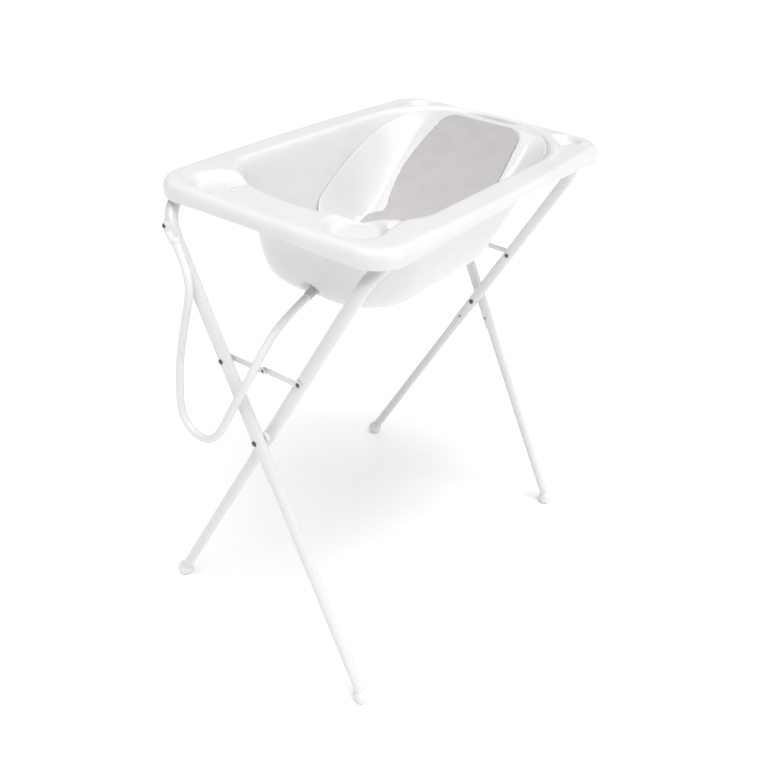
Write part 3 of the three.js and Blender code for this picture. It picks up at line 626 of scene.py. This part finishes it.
def tub_rings():
    """Loops of the tub's skin from the middle of the floor, over the rim, to the underside,
    and the number of the first loop that lies on the outside of the basin."""
    lip = BASIN[-1]
    lip_top = offset_level(lip, 7, RIM_TOP)
    loops = []
    # floor and inside walls
    inside = levels_between([*BASIN, lip_top], [4, 5, 6, 10, 10, 5, 5, 4])
    for level in inside:
        loops.append(tub_ring(level, rise=float(smooth(975, 997, level[0]))))
    # flat of the rim, from the lip to the roll of the edge
    start, end = tub_ring(lip_top), tub_ring(rim_level(RIM_TOP, 17), bow=1)
    across_rim = np.linalg.norm((end - start)[:, :2], axis=1)
    steps = 40
    for i in range(1, steps + 1):
        t = i / steps
        ring = start + (end - start) * t
        ring[:, 2] += HEAD_RISE * smooth(180, 375, ring[:, 0]) * (
            1 - smooth(3, 16, across_rim * t)) * (t < 1)
        loops.append(ring)
    # rolled edge and skirt
    edge = levels_between([rim_level(RIM_TOP, 17), rim_level(999, 11), rim_level(995.2, 5),
                           rim_level(989, 1.2), rim_level(982, 0), rim_level(SKIRT_Z + 1, 1.2)],
                          [3, 3, 4, 3, 6])
    for level in edge[1:]:
        loops.append(tub_ring(level, bow=1, arch=arch_at(level[0])))
    for z, inset in ((SKIRT_Z + 0.2, 1.6), (SKIRT_Z, 2.4), (SKIRT_Z, 1.5 + TUB_WALL - 0.8),
                     (SKIRT_Z + 0.4, 1.5 + TUB_WALL)):
        loops.append(tub_ring(rim_level(z, inset), bow=1, arch=1))
    # underside of the skirt and the rim
    for z, inset in ((975, TUB_WALL + 1.5), (984, TUB_WALL + 1.9), (990, TUB_WALL + 3.4),
                     (994.5, TUB_WALL + 7), (996.7, 14), (RIM_TOP - TUB_WALL, 19)):
        loops.append(tub_ring(rim_level(z, inset), bow=1, arch=arch_at(z)))
    under_lip = offset_level(lip, 8, RIM_TOP - TUB_WALL)
    start, end = loops[-1], tub_ring(under_lip)
    across_rim = np.linalg.norm((end - start)[:, :2], axis=1)
    for i in range(1, 25):
        t = i / 24
        ring = start + (end - start) * t
        ring[:, 2] += HEAD_RISE * smooth(180, 375, ring[:, 0]) * (
            1 - smooth(3, 16, across_rim * (1 - t)))
        loops.append(ring)
    # outside of the basin
    first_outside = len(loops)
    outside = [under_lip] + [
        offset_level(level, TUB_WALL, level[0] - TUB_WALL * floor_share(level[0]))
        for level in BASIN[-2::-1]]
    for level in levels_between(outside, [4, 5, 10, 10, 6, 5, 4])[1:]:
        loops.append(tub_ring(level, rise=float(smooth(975, 997, level[0]))))
    return loops, first_outside


# Soap dishes: centre, radius of the floor, radius where the fillet ends, the channel from
# the dish toward the basin, and half the length and width of the drain slot.
DISH_DEPTH = 13
DISHES = [
    {"at": (-343, -151), "floor": 38, "top": 57, "channel": ((-316, -192), (-262, -190)),
     "slot": (9, 4.4)},
    {"at": (-343, 152), "floor": 38, "top": 57, "channel": ((-334, 131), (-296, 112)),
     "slot": (8, 4)},
    {"at": (362, -184), "floor": 23, "top": 36, "channel": ((361, -203), (318, -198)),
     "slot": (5, 2.2)},
    {"at": (362, 184), "floor": 23, "top": 36, "channel": ((361, 203), (318, 198)),
     "slot": (5, 2.2)},
]
CHANNEL_DEPTH, CHANNEL_FALL, CHANNEL_HALF = 3.2, 3, 7.5
SLOT_TURN = math.radians(8)
SLOT_IN = 2


def to_segment(x, y, start, end):
    """Distance to a segment, and how far along it the nearest point lies."""
    (ax, ay), (bx, by) = start, end
    length2 = (bx - ax) ** 2 + (by - ay) ** 2
    t = np.clip(((x - ax) * (bx - ax) + (y - ay) * (by - ay)) / length2, 0, 1)
    return np.hypot(x - ax - t * (bx - ax), y - ay - t * (by - ay)), t


def sunk(x, y):
    """How far the rim is pressed down at a place."""
    depth = np.zeros_like(x)
    for dish in DISHES:
        away = np.hypot(x - dish["at"][0], y - dish["at"][1])
        depth = np.maximum(depth, DISH_DEPTH * (1 - smooth(dish["floor"], dish["top"], away)))
        off, t = to_segment(x, y, *dish["channel"])
        channel = CHANNEL_DEPTH + CHANNEL_FALL * (1 - t)
        channel = channel * (1 - smooth(CHANNEL_HALF * 0.25, CHANNEL_HALF, off))
        depth = np.maximum(depth, channel)
    return depth


# Recess round the drain: radius of its flat, and where its soft edge ends.
RECESS_R, RECESS_SOFT, RECESS_REACH = 18, 23, 60
UP_THE_PLATE = np.array((DRAIN_AXIS[2], 0.0, -DRAIN_AXIS[0]))


def recessed(points, outside):
    """The wall pressed flat, square to the drain, in an arch that is open at the bottom."""
    from_drain = points - DRAIN_AT
    beyond = from_drain @ DRAIN_AXIS - (TUB_WALL / 2 if outside else -TUB_WALL / 2)
    away = np.hypot(from_drain[:, 1], np.maximum(from_drain @ UP_THE_PLATE, 0))
    soft = RECESS_SOFT if outside else RECESS_SOFT + 4
    near = (1 - smooth(RECESS_R, soft, away)) * (beyond < RECESS_REACH)
    moved = points.copy()
    moved[:, 0] += near * np.maximum(beyond, 0) / -DRAIN_AXIS[0]
    return moved


def tub_mesh():
    loops = []
    skin, first_outside = tub_rings()
    for number, ring in enumerate(skin):
        x, y, z = ring.T
        on_rim = smooth(978, 990, z) * (1 - smooth(0, 6, np.abs(x) - 403)) * (
            1 - smooth(0, 6, np.abs(y) - 254))
        ring[:, 2] = z - sunk(x, y) * on_rim
        loops.append(recessed(ring, number >= first_outside))
    centre = np.array((-40.0, 0.0))

    def floor_loops(loop, scales):
        return [np.column_stack([centre + (loop[:, :2] - centre) * s, loop[:, 2]])
                for s in scales]

    loops = floor_loops(loops[0], (0.04, 0.3, 0.6, 0.85)) + loops
    loops += floor_loops(loops[-1], (0.85, 0.6, 0.3, 0.04))
    return rings("tub", loops)


def disc(name, start, end, radius, sides=64):
    axis = np.asarray(end) - np.asarray(start)
    length = np.linalg.norm(axis)
    return lathe(name, [(0, 0), (radius, 0), (radius, length), (0, length)], start, axis, sides)


def rounded_cutter(name, centre, turn_to, half_long, half_wide, low, high):
    """An upright slot with round ends, its long side along turn_to."""
    points = []
    for i in range(24):
        angle = i / 24 * 2 * math.pi
        u = half_wide * math.cos(angle) + math.copysign(half_long - half_wide, math.cos(angle))
        points.append((u, half_wide * math.sin(angle)))
    points = np.array(points)
    c, s = math.cos(turn_to), math.sin(turn_to)
    flat = np.column_stack([centre[0] + c * points[:, 0] - s * points[:, 1],
                            centre[1] + s * points[:, 0] + c * points[:, 1]])
    return rings(name, [np.column_stack([flat, np.full(24, z)]) for z in (low, high)])


def boolean(piece, other, operation):
    step = piece.modifiers.new(operation, "BOOLEAN")
    step.operation = operation
    step.solver = "MANIFOLD"
    step.object = other
    apply_modifiers(piece)
    old = other.data
    bpy.data.objects.remove(other)
    bpy.data.meshes.remove(old)


tub = tub_mesh()
BOSS_R, BORE = 14.2, 9.3
boss = [(0, -BOSS_HALF), (BOSS_R - 0.7, -BOSS_HALF), (BOSS_R, -BOSS_HALF + 0.7),
        (BOSS_R, BOSS_HALF - 0.7), (BOSS_R - 0.7, BOSS_HALF), (0, BOSS_HALF)]
boolean(tub, lathe("boss", boss, DRAIN_AT, DRAIN_AXIS, 64), "UNION")
boolean(tub, disc("bore", along_drain(-30), along_drain(30), BORE), "DIFFERENCE")
for number, dish in enumerate(DISHES):
    (ax, ay), (bx, by) = dish["channel"]
    heading = math.atan2(by - ay, bx - ax)
    at = (ax + SLOT_IN * math.cos(heading), ay + SLOT_IN * math.sin(heading))
    boolean(tub, rounded_cutter(f"slot_{number}", at, SLOT_TURN, *dish["slot"],
                                RIM_TOP - DISH_DEPTH - 8, RIM_TOP - 2), "DIFFERENCE")


def saddle_rib(name, x, side):
    """A rib under the rim, notched to sit on the stand's top bar."""
    bar_y = along_leg(BAR_Z) * math.sin(TILT)
    top, low = RIM_TOP - TUB_WALL + 0.6, RIM_TOP - TUB_WALL - 32.5
    radius, centre_z = UPPER_R + 1.3, BAR_Z - 0.5
    arc = []
    for i in range(17):
        angle = i / 16 * math.pi * 0.82
        arc.append((bar_y + radius * math.cos(angle), centre_z + radius * math.sin(angle)))
    section = [(214, arc[-1][1]), (214, top), (252, top), (252, low), (bar_y + radius, low),
               *arc[1:-1]]
    loops = [np.array([(x + dx, side * y, z) for y, z in section]) for dx in (-2, 2)]
    points = np.concatenate(loops)
    count = len(section)
    faces = ring_faces(2, count) + [tuple(range(count)), tuple(range(2 * count - 1, count - 1, -1))]
    return solid(name, points, faces)


ribs = [saddle_rib(f"rib_{x}_{side}", x, side) for side in (-1, 1) for x in (-150, 0, 150)]
tub = smooth_piece(join("tub", [tub, *ribs]), 38)
finish_piece(tub, TUB_WHITE, "tub", ["tub_shell"])

# ---- drain --------------------------------------------------------------------------
inner, outer = -BOSS_HALF - GAP, BOSS_HALF + GAP
flange = outer + 2 + GAP


def drain_piece(name, profile, surface, body, node):
    finish_piece(lathe(name, profile, DRAIN_AT, DRAIN_AXIS, 48), surface, body, [node])


drain_piece("strainer", [
    (6, inner - 1.6), (6.4, inner - 2), (15.4, inner - 2), (16.2, inner - 1.6), (17, inner - 0.4),
    (17, inner), (BORE - GAP, inner), (BORE - GAP, outer - GAP), (6, outer - GAP),
    (6, inner - 1.6)],
    DRAIN_GREY, "tub", "drain_strainer")
drain_piece("gasket", [
    (8, outer), (10.8, outer), (11.2, outer + 0.5), (11.2, outer + 1.5), (10.8, outer + 2),
    (8, outer + 2), (8, outer)], RUBBER, "tub", "drain_gasket")
drain_piece("spigot", [
    (5.5, flange), (10.4, flange), (10.9, flange + 0.5), (10.9, flange + 2.4), (10.5, flange + 3),
    (10.4, flange + 3.2), (9.7, flange + 4), (9.4, flange + 9), (9.7, flange + 10),
    (9.4, flange + 11), (9.7, flange + 12), (9.4, flange + 13), (9.2, flange + 20.8),
    (8.8, flange + 22), (5.5, flange + 22), (5.5, flange)],
    DRAIN_GREY, "tub", "drain_spigot")
drain_piece("plug", [
    (0, inner + 6), (4.6, inner + 6), (5.2, inner + 5.4), (5.7, inner - 2 - GAP),
    (11.4, inner - 2 - GAP),
    (12, inner - 3), (12, inner - 4), (11, inner - 4.7), (5.2, inner - 5.4), (4.2, inner - 6.4),
    (4.6, inner - 9.6), (6, inner - 10.6), (5.6, inner - 11.4), (3, inner - 12), (0, inner - 12)],
    RUBBER, "plug", "drain_plug")

# ---- hose end ------------------------------------------------------------------------
end_point = np.array(HOSE_ROUTE[-1], dtype=float)
end_axis = unit(end_point - np.array(HOSE_ROUTE[-2], dtype=float))
cap = lathe("hose_cap", [
    (0, GAP), (7.9, GAP), (8.2, GAP + 0.4), (8.3, 2.6), (8.0, 3.1), (8.0, 3.9), (8.3, 4.4),
    (8.3, 6.9), (8.0, 8.2), (7.1, 9.3), (5.6, 9.8), (3.2, 9.9), (0, 9.9)], end_point, end_axis, 40)
finish_piece(cap, MOULDED, "tub", ["hose_end_cap"])

PLATE_S = (along_leg(902), along_leg(931))
CRADLE_S = (along_leg(893), along_leg(914))
RIVET_S = along_leg(925)


def bent_strip(name, reach, centre, inner_r, outer_r, start, end, steps=40):
    """A strip bent round a centre in a leg's cross-section, its edges softened."""
    rim, loops = 0.7, []
    low, high = reach
    section = [(inner_r + rim, low), (outer_r - rim, low), (outer_r, low + rim),
               (outer_r, high - rim), (outer_r - rim, high), (inner_r + rim, high),
               (inner_r, high - rim), (inner_r, low + rim)]
    for i in range(steps + 1):
        angle = math.radians(start + (end - start) * i / steps)
        loops.append([leg_point("outer", -OUTER_X + centre[0] + r * math.cos(angle), s,
                                centre[1] + r * math.sin(angle)) for r, s in section])
    return rings(name, loops)


plate_in = UPPER_R + GAP
hook = (-18.3, -17.8)
clip = join("hose_holder", [
    bent_strip("plate", PLATE_S, (0, 0), plate_in, plate_in + 2.4, 140, 225),
    bent_strip("cradle", CRADLE_S, hook, HOSE_R + 0.8, HOSE_R + 3, 20, 185)])
finish_piece(smooth_piece(clip, 35), MOULDED, "stand_outer", ["hose_clip"])
clip_face = UPPER_R + 3 * GAP + 2.4
rivet = cross_screw("holder_rivet", leg_point("outer", -OUTER_X - clip_face, RIVET_S), (-1, 0, 0),
                    3.9, 2.0, 2.4, 1.9)
finish_piece(rivet, DARK_STEEL, "stand_outer", ["hose_clip_rivet"])

# ---- bath support --------------------------------------------------------------------
RECLINE, BACK_TOP, SEAT_Z = 0.68, (328, 999), 793
SUPPORT_FOOT, SUPPORT_HEAD, SUPPORT_THICK = -60, 373, 4
HALF_WIDTH = [(-60, 138), (-56, 153), (-48, 165), (-36, 172), (-15, 176), (8, 179), (40, 183),
              (67, 186), (96, 189), (128, 192), (160, 195), (193, 197), (218, 196), (245, 192),
              (270, 185.5), (294, 175), (312, 164), (325, 154), (345, 131), (358, 109), (366, 92),
              (373, 70)]
EDGE_Z = [(-60, 832), (-56, 846), (-48, 860), (-36, 877), (-15, 890), (8, 903), (40, 918),
          (67, 931), (96, 942), (128, 952), (160, 962), (193, 970), (218, 977), (245, 985),
          (270, 991), (294, 996), (325, 1000), (345, 1002), (373, 1003)]
BORDER_HALF = [(-60, 96), (0, 116), (50, 122), (60, 110), (75, 101), (100, 106), (150, 118),
               (222, 123), (260, 125), (310, 121), (335, 108), (373, 60)]
PAD_FOOT, PAD_HEAD = 12, 328
PAD_HALF = [(12, 96), (24, 114), (49, 121), (64, 118), (76, 104), (84, 88), (101, 90), (118, 97),
            (148, 106), (181, 112), (211, 113.5), (243, 110), (276, 105), (303, 101), (318, 94),
            (328, 84)]
PAD_UNDER, PAD_THICK = 1.2, 8.0


def table(rows, x):
    rows = np.array(rows, dtype=float)
    return pchip(rows[:, 0], rows[:, 1], np.ravel(x)).reshape(np.shape(x))


FLAT_HALF = [(-60, 100), (-10, 124), (74, 125), (110, 119), (220, 128), (290, 124), (345, 92),
             (373, 50)]


def centre_height(x):
    plane = BACK_TOP[1] - RECLINE * (BACK_TOP[0] - x)
    seat = SEAT_Z + 14 * np.log1p(np.exp((plane - SEAT_Z) / 14))
    return np.minimum(seat, BACK_TOP[1] + 2)


def support_height(x, y):
    half = table(HALF_WIDTH, x)
    flat = np.minimum(table(FLAT_HALF, x), half - 14)
    side = np.clip((np.abs(y) - flat) / (half - flat), 0, 1)
    rise = np.maximum(table(EDGE_Z, x) - centre_height(x), 0)
    return centre_height(x) + rise * side ** 1.2


def pad_half(x):
    """The pad's half width, with its corners rounded."""
    half = table(PAD_HALF, x)
    for end, corner, way in ((PAD_HEAD, 17, 1), (PAD_FOOT, 12, -1)):
        into = np.clip((way * (x - end) + corner) / corner, 0, 1)
        half = half - corner * (1 - np.sqrt(1 - into ** 2))
    return half


SLOPE = 1.2       # length along the back rest for each millimetre of X


def pad_distance(x, y):
    """Distance outside the pad's outline, negative inside it."""
    at = np.linspace(PAD_FOOT, PAD_HEAD, 160)
    half = pad_half(at)
    edge = np.concatenate([np.column_stack([at * SLOPE, half]),
                           np.column_stack([at[::-1] * SLOPE, -half[::-1]])])
    edge = np.concatenate([edge, edge[:1]])
    best = np.full(x.shape, 1e9)
    for a, b in zip(edge[:-1], edge[1:]):
        away, _ = to_segment(x * SLOPE, y, a, b)
        best = np.minimum(best, away)
    inside = (x > PAD_FOOT) & (x < PAD_HEAD) & (np.abs(y) < pad_half(x))
    return np.where(inside, -best, best)


LIP_HEIGHT, NEAR_FALL, FAR_FALL = 5.5, 8, 15


def sheet_solid(name, xs, half_at, columns, top, bottom):
    """A closed sheet between two height functions of (x, y)."""
    v = np.linspace(-1, 1, columns)
    v = np.sign(v) * (1 - (1 - np.abs(v)) ** 1.35)
    grid_x = np.repeat(xs[:, None], columns, 1)
    grid_y = half_at(xs)[:, None] * v[None, :]
    upper, lower = top(grid_x, grid_y), bottom(grid_x, grid_y)
    loops = []
    for i in range(len(xs)):
        up_row = np.column_stack([grid_x[i], grid_y[i], upper[i]])
        low_row = np.column_stack([grid_x[i], grid_y[i], lower[i]])[::-1]
        loops.append(np.concatenate([up_row, low_row]))
    count = 2 * columns
    points = np.concatenate(loops)
    faces = ring_faces(len(loops), count)
    for base, order in ((0, 1), ((len(loops) - 1) * count, -1)):
        for j in range(columns - 1):
            face = (base + j, base + j + 1, base + count - 2 - j, base + count - 1 - j)
            faces.append(face[::order])
    return solid(name, points, faces)


def support_half(x):
    return table(HALF_WIDTH, x)


def edge_drop(distance, radius):
    """How far a rounded edge falls at a distance inside it."""
    t = np.clip(1 - distance / radius, 0, 1)
    return radius * (1 - np.sqrt(1 - t ** 2))


def support_top(x, y):
    """The sheet, with the raised border that frames the pad and drops off to the wings, more
    steeply on the near side. Round the head end the border follows the pad's outline."""
    base = support_height(x, y)
    away = pad_distance(x, y)
    past = np.abs(y) - table(BORDER_HALF, x)
    along_sides = 1 - smooth(265, 330, x)
    fall = np.where(y < 0, NEAR_FALL, FAR_FALL)
    side_border = 1 - smooth(0, 1, past / fall)
    head_border = 1 - smooth(6, 40, away)
    border = side_border * along_sides + head_border * (1 - along_sides)
    lip = smooth(0.4, 1.6, away) * border
    edge = np.minimum(support_half(x) - np.abs(y), np.minimum(x - SUPPORT_FOOT, SUPPORT_HEAD - x))
    return base + LIP_HEIGHT * lip - edge_drop(edge, 3)


def support_bottom(x, y):
    return support_height(x, y) - SUPPORT_THICK + 0.3


xs = np.linspace(0, 1, 210)
support_xs = SUPPORT_FOOT + (SUPPORT_HEAD - SUPPORT_FOOT) * xs
support = sheet_solid("support", support_xs, support_half, 170, support_top, support_bottom)
finish_piece(smooth_piece(support, 50), SUPPORT_WHITE, "support",
             ["bath_support"])


def pad_top(x, y):
    inside = np.maximum(-pad_distance(x, y), 0)
    crown = 0.6 * smooth(0, 60, inside)
    return support_height(x, y) + PAD_UNDER + PAD_THICK - 0.6 + crown - edge_drop(inside, 3.2)


def pad_bottom(x, y):
    return support_height(x, y) + PAD_UNDER + 0.2


pad_xs = PAD_FOOT + (PAD_HEAD - PAD_FOOT) * (0.5 - 0.5 * np.cos(math.pi * np.linspace(0, 1, 120)))
pad = sheet_solid("pad", pad_xs, lambda x: np.maximum(pad_half(x) - 0.8, 2), 90, pad_top,
                  pad_bottom)
finish_piece(smooth_piece(pad, 60), PAD_GREY, "support", ["support_pad"])

# ---- hose material and declaration ------------------------------------------------------
finish_piece(hose, HOSE_WHITE, "tub", ["drain_hose"])


# ---- studio ---------------------------------------------------------------------------
FLOOR_HALF = 30
floor_data = bpy.data.meshes.new("floor")
corners = [(sx * FLOOR_HALF, sy * FLOOR_HALF, 0) for sx, sy in ((-1, -1), (1, -1), (1, 1), (-1, 1))]
floor_data.from_pydata(corners, [], [(0, 1, 2, 3)])
floor = bpy.data.objects.new("floor", floor_data)
bpy.context.scene.collection.objects.link(floor)
floor.location.z = -0.0005
floor_data.materials.append(FLOOR)

# A pale screen round the studio, seen by the camera only: it casts and bounces nothing.
SCREEN_R, SCREEN_TOP, SCREEN_SIDES = 26, 40, 64
screen_loops = [circle(np.array((0.0, 0.0, z)), np.array((1.0, 0, 0)), np.array((0, 1.0, 0)),
                       SCREEN_R, SCREEN_SIDES) for z in (-0.01, SCREEN_TOP)]
screen_data = bpy.data.meshes.new("screen")
screen_data.from_pydata(np.concatenate(screen_loops).tolist(), [], ring_faces(2, SCREEN_SIDES))
screen_data.materials.append(FLOOR)
screen = bpy.data.objects.new("screen", screen_data)
bpy.context.scene.collection.objects.link(screen)
screen.visible_shadow = screen.visible_diffuse = screen.visible_glossy = False
screen.visible_transmission = False


def sun(name, come_from, strength, spread):
    """Even light from one side of the studio, as wide as a large soft box."""
    data = bpy.data.lights.new(name, "SUN")
    data.energy = strength
    data.angle = math.radians(spread)
    lamp = bpy.data.objects.new(name, data)
    bpy.context.scene.collection.objects.link(lamp)
    lamp.rotation_euler = (-Vector(come_from)).to_track_quat("-Z", "Y").to_euler()
    return lamp


sun("key", (-0.2, -0.3, 1.0), 2.85, 55)
sun("side", (0.35, -1.0, 0.15), 0.42, 30)
sun("top", (0.2, 0.3, 1.0), 0.3, 90)

world = bpy.data.worlds.new("world")
bpy.context.scene.world = world
world.use_nodes = True
world.node_tree.nodes["Background"].inputs["Color"].default_value = (1, 1, 1, 1)
world.node_tree.nodes["Background"].inputs["Strength"].default_value = 0.27
bpy.context.scene.view_settings.view_transform = "Standard"
